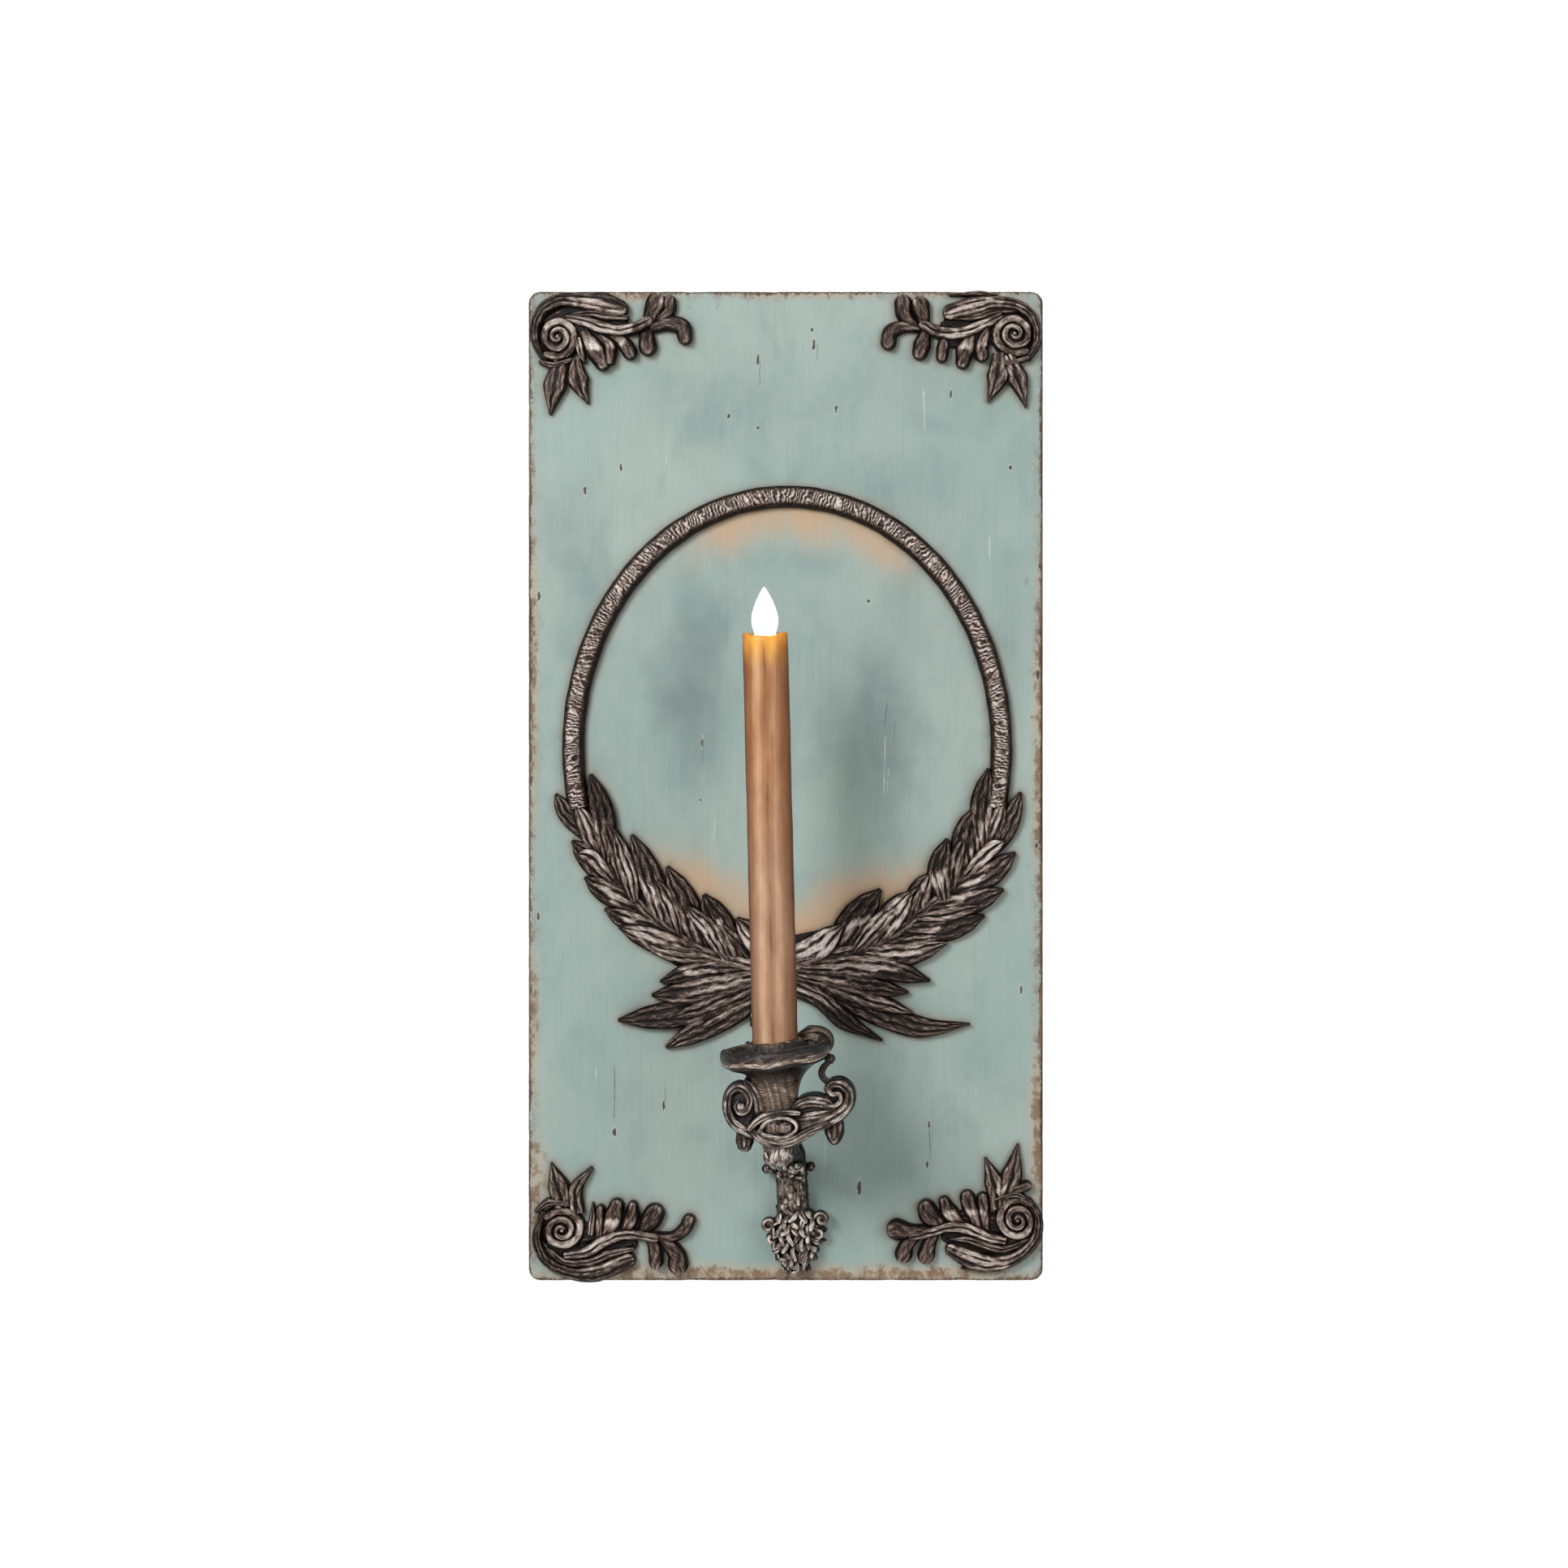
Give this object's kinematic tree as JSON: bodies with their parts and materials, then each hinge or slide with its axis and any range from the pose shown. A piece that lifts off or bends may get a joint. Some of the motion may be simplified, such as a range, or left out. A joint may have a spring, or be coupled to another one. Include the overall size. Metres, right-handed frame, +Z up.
{
  "type": "wall sconce candle holder",
  "caption": "Wall sconce: a tall worn painted board with cast corner scrolls, a rope and laurel oval, and a scrolled arm whose cup holds a flameless taper candle.",
  "frame": {"origin": "centre of the board's back, on the wall", "axes": "+Y into the wall, +Z up, +X to the viewer's right"},
  "size_m": [0.26, 0.1155, 0.5],
  "materials": {
    "teal_paint": "matt, worn",
    "onlay_casting": "dark, dry-brushed",
    "arm_casting": "dark, dry-brushed",
    "cup_casting": "satin bronze",
    "steel_screw": "satin",
    "hanger_plate": "satin",
    "candle_wax": "waxy",
    "flame_lens": "frosted",
    "led_epoxy": "clear",
    "circuit_board": "gloss",
    "black_plastic": "matt",
    "tube_plastic": "matt",
    "cell_jacket": "gloss",
    "contact_metal": "bright",
    "spring_steel": "bright",
    "wire_sleeve": "gloss"
  },
  "bodies": {
    "plaque": {"back_board": "teal_paint", "corner_top_left": "onlay_casting", "corner_top_right": "onlay_casting", "corner_bottom_left": "onlay_casting", "corner_bottom_right": "onlay_casting", "rope_ring": "onlay_casting", "wreath_left": "onlay_casting", "wreath_right": "onlay_casting", "hanger_left": "hanger_plate", "hanger_right": "hanger_plate", "hanger_screws": "steel_screw", "candle_arm": "arm_casting", "arm_screws": "steel_screw", "scroll_cradle": "arm_casting", "candle_cup": "cup_casting", "cup_screw": "steel_screw"},
    "candle": {"candle_shell": "candle_wax", "candle_flame": "flame_lens", "flame_led": "led_epoxy", "led_board": "circuit_board", "led_holder": "black_plastic", "battery_tube": "tube_plastic", "batteries": "cell_jacket", "contact_plate": "contact_metal", "lead_wires": "wire_sleeve"},
    "cap": {"base_cap": "tube_plastic", "contact_spring": "spring_steel"},
    "switch": {"power_switch": "black_plastic"}
  },
  "joints": [
    {"name": "candle_lift", "type": "slide", "parent": "plaque", "child": "candle", "axis": [-0.0244, 0, 0.9997], "range_m": [0, 0.04]},
    {"name": "cap_twist", "type": "hinge", "parent": "candle", "child": "cap", "pos_m": [0.00045, -0.09, -0.14203], "axis": [-0.0244, 0, 0.9997], "range_deg": [0, 50]},
    {"name": "switch_slide", "type": "slide", "parent": "cap", "child": "switch", "axis": [0.9997, 0, 0.0244], "range_m": [0, 0.0022]}
  ]
}
